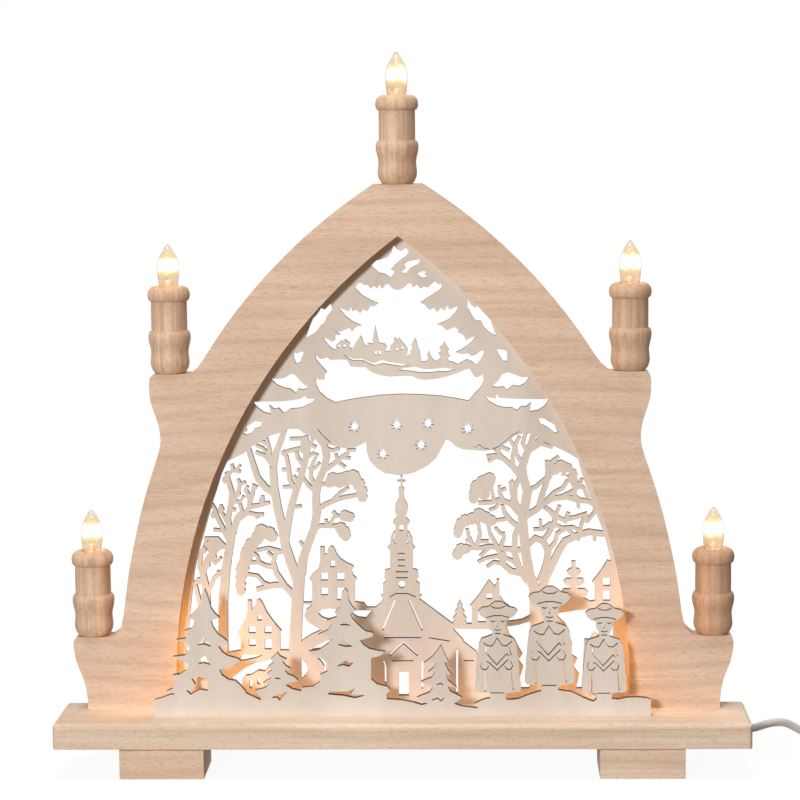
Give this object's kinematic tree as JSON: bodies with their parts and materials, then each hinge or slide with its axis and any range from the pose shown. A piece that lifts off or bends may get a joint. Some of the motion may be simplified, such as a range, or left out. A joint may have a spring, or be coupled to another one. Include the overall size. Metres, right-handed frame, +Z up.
{
  "type": "lit candle arch",
  "caption": "Pointed wooden arch on a board with two feet, with fretwork panels, turned electric candles on its perches and lamps inside, on a mains lead.",
  "frame": {"origin": "middle of the footprint box, on the surface the feet stand on", "axes": "+X to the right, front towards -Y, +Z up from the table"},
  "size_m": [0.6457, 0.0803, 0.4504],
  "materials": {
    "base_beech": "matte",
    "arch_beech": "matte",
    "plywood": "matte",
    "candle_beech": "matte",
    "socket_plastic": "satin",
    "brass": "satin",
    "solder": "satin",
    "bulb_glass": "clear",
    "filament": "glowing",
    "wire_plastic": "matte",
    "white_plastic": "satin",
    "steel": "satin"
  },
  "bodies": {
    "stand": {"base_board": "base_beech", "foot_left": "base_beech", "foot_right": "base_beech", "arch_frame": "arch_beech", "back_panel": "plywood", "front_panel": "plywood", "candle_top": "candle_beech", "candle_high_left": "candle_beech", "candle_high_right": "candle_beech", "candle_low_left": "candle_beech", "candle_low_right": "candle_beech", "socket_top": "socket_plastic", "socket_high_left": "socket_plastic", "socket_high_right": "socket_plastic", "socket_low_left": "socket_plastic", "socket_low_right": "socket_plastic", "holder_left": "socket_plastic", "holder_right": "socket_plastic", "socket_shells": "brass", "socket_rivets": "brass", "wiring_loom": "wire_plastic", "wire_clips": "steel", "cord_clamp": "white_plastic", "long_screws": "steel", "small_screws": "steel", "panel_pins": "steel", "cord_run": "white_plastic", "cord_coil": "white_plastic", "cord_tail": "white_plastic", "plug_body": "white_plastic", "plug_pins": "steel"},
    "lamp_lift_top": {"contact_top": "solder"},
    "lamp_top": {"glass_top": "bulb_glass", "cap_top": "brass", "filament_top": "filament"},
    "lamp_lift_high_left": {"contact_high_left": "solder"},
    "lamp_high_left": {"glass_high_left": "bulb_glass", "cap_high_left": "brass", "filament_high_left": "filament"},
    "lamp_lift_high_right": {"contact_high_right": "solder"},
    "lamp_high_right": {"glass_high_right": "bulb_glass", "cap_high_right": "brass", "filament_high_right": "filament"},
    "lamp_lift_low_left": {"contact_low_left": "solder"},
    "lamp_low_left": {"glass_low_left": "bulb_glass", "cap_low_left": "brass", "filament_low_left": "filament"},
    "lamp_lift_low_right": {"contact_low_right": "solder"},
    "lamp_low_right": {"glass_low_right": "bulb_glass", "cap_low_right": "brass", "filament_low_right": "filament"},
    "lamp_lift_inner_left": {"contact_inner_left": "solder"},
    "lamp_inner_left": {"glass_inner_left": "bulb_glass", "cap_inner_left": "brass", "filament_inner_left": "filament"},
    "lamp_lift_inner_right": {"contact_inner_right": "solder"},
    "lamp_inner_right": {"glass_inner_right": "bulb_glass", "cap_inner_right": "brass", "filament_inner_right": "filament"}
  },
  "joints": [
    {"name": "unscrew_lift_top", "type": "slide", "parent": "stand", "child": "lamp_lift_top", "axis": [0, 0, 1], "range_m": [0, 0.00814]},
    {"name": "unscrew_turn_top", "type": "hinge", "parent": "lamp_lift_top", "child": "lamp_top", "pos_m": [0, 0.01675, 0.4237], "axis": [0, 0, 1], "range_deg": [0, 1620]},
    {"name": "unscrew_lift_high_left", "type": "slide", "parent": "stand", "child": "lamp_lift_high_left", "axis": [0, 0, 1], "range_m": [0, 0.00814]},
    {"name": "unscrew_turn_high_left", "type": "hinge", "parent": "lamp_lift_high_left", "child": "lamp_high_left", "pos_m": [-0.1445, 0.01675, 0.3063], "axis": [0, 0, 1], "range_deg": [0, 1620]},
    {"name": "unscrew_lift_high_right", "type": "slide", "parent": "stand", "child": "lamp_lift_high_right", "axis": [0, 0, 1], "range_m": [0, 0.00814]},
    {"name": "unscrew_turn_high_right", "type": "hinge", "parent": "lamp_lift_high_right", "child": "lamp_high_right", "pos_m": [0.1445, 0.01675, 0.3063], "axis": [0, 0, 1], "range_deg": [0, 1620]},
    {"name": "unscrew_lift_low_left", "type": "slide", "parent": "stand", "child": "lamp_lift_low_left", "axis": [0, 0, 1], "range_m": [0, 0.00814]},
    {"name": "unscrew_turn_low_left", "type": "hinge", "parent": "lamp_lift_low_left", "child": "lamp_low_left", "pos_m": [-0.197, 0.01675, 0.1382], "axis": [0, 0, 1], "range_deg": [0, 1620]},
    {"name": "unscrew_lift_low_right", "type": "slide", "parent": "stand", "child": "lamp_lift_low_right", "axis": [0, 0, 1], "range_m": [0, 0.00814]},
    {"name": "unscrew_turn_low_right", "type": "hinge", "parent": "lamp_lift_low_right", "child": "lamp_low_right", "pos_m": [0.197, 0.01675, 0.1382], "axis": [0, 0, 1], "range_deg": [0, 1620]},
    {"name": "unscrew_lift_inner_left", "type": "slide", "parent": "stand", "child": "lamp_lift_inner_left", "axis": [0, 0, 1], "range_m": [0, 0.00814]},
    {"name": "unscrew_turn_inner_left", "type": "hinge", "parent": "lamp_lift_inner_left", "child": "lamp_inner_left", "pos_m": [-0.122, 0.007, 0.0604], "axis": [0, 0, 1], "range_deg": [0, 1620]},
    {"name": "unscrew_lift_inner_right", "type": "slide", "parent": "stand", "child": "lamp_lift_inner_right", "axis": [0, 0, 1], "range_m": [0, 0.00814]},
    {"name": "unscrew_turn_inner_right", "type": "hinge", "parent": "lamp_lift_inner_right", "child": "lamp_inner_right", "pos_m": [0.122, 0.007, 0.0604], "axis": [0, 0, 1], "range_deg": [0, 1620]}
  ],
  "couplings": [
    {"joint": "unscrew_lift_top", "follows": "unscrew_turn_top", "m_per_rad": 0.00028807},
    {"joint": "unscrew_lift_high_left", "follows": "unscrew_turn_high_left", "m_per_rad": 0.00028807},
    {"joint": "unscrew_lift_high_right", "follows": "unscrew_turn_high_right", "m_per_rad": 0.00028807},
    {"joint": "unscrew_lift_low_left", "follows": "unscrew_turn_low_left", "m_per_rad": 0.00028807},
    {"joint": "unscrew_lift_low_right", "follows": "unscrew_turn_low_right", "m_per_rad": 0.00028807},
    {"joint": "unscrew_lift_inner_left", "follows": "unscrew_turn_inner_left", "m_per_rad": 0.00028807},
    {"joint": "unscrew_lift_inner_right", "follows": "unscrew_turn_inner_right", "m_per_rad": 0.00028807}
  ]
}
